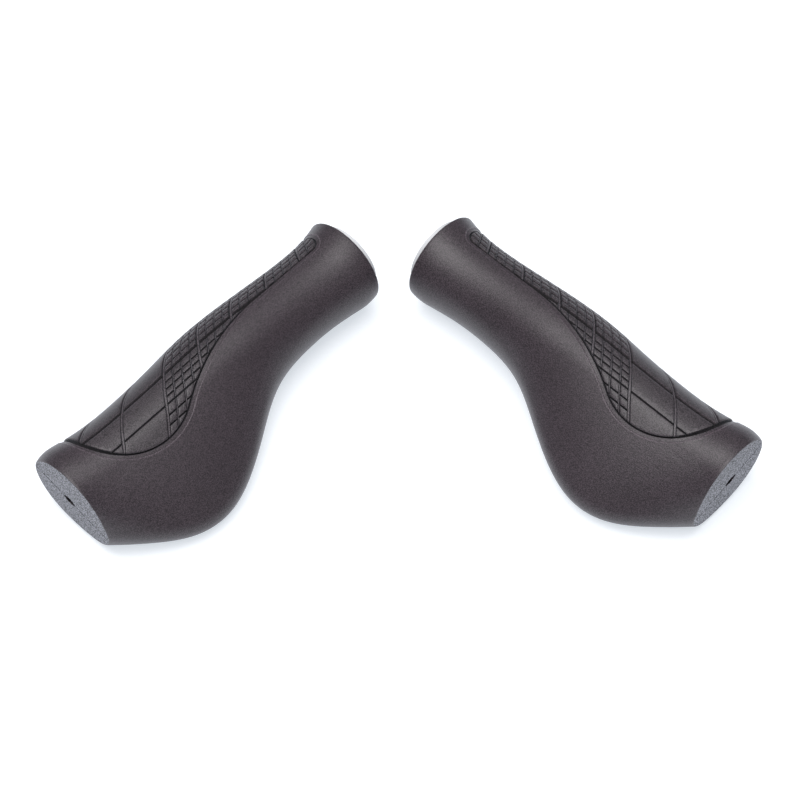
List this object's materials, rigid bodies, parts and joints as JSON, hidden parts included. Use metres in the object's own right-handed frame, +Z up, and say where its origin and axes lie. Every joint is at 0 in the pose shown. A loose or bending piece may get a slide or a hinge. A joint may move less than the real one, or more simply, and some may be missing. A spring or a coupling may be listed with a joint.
{
  "type": "ergonomic handlebar grips",
  "caption": "Pair of black rubber slide-on bicycle handlebar grips with a palm wing, flared collar and textured panel, over rigid core tubes.",
  "frame": {"origin": "middle of the pair's box, on the surface the grips lie on", "axes": "+Z up, +X across the pair from the left grip to the right one, +Y towards the open inner ends"},
  "size_m": [0.246, 0.1256, 0.0359],
  "materials": {
    "sleeve_rubber": "matte, fine grain",
    "panel_rubber": "matte, textured",
    "core_plastic": "satin"
  },
  "bodies": {
    "left_grip": {"left_sleeve": "sleeve_rubber", "left_texture_panel": "panel_rubber", "left_core": "core_plastic"},
    "right_grip": {"right_sleeve": "sleeve_rubber", "right_texture_panel": "panel_rubber", "right_core": "core_plastic"}
  },
  "joints": [
    {"name": "pair_spread", "type": "slide", "parent": "left_grip", "child": "right_grip", "axis": [1, 0, 0], "range_m": [0, 0.15]}
  ]
}
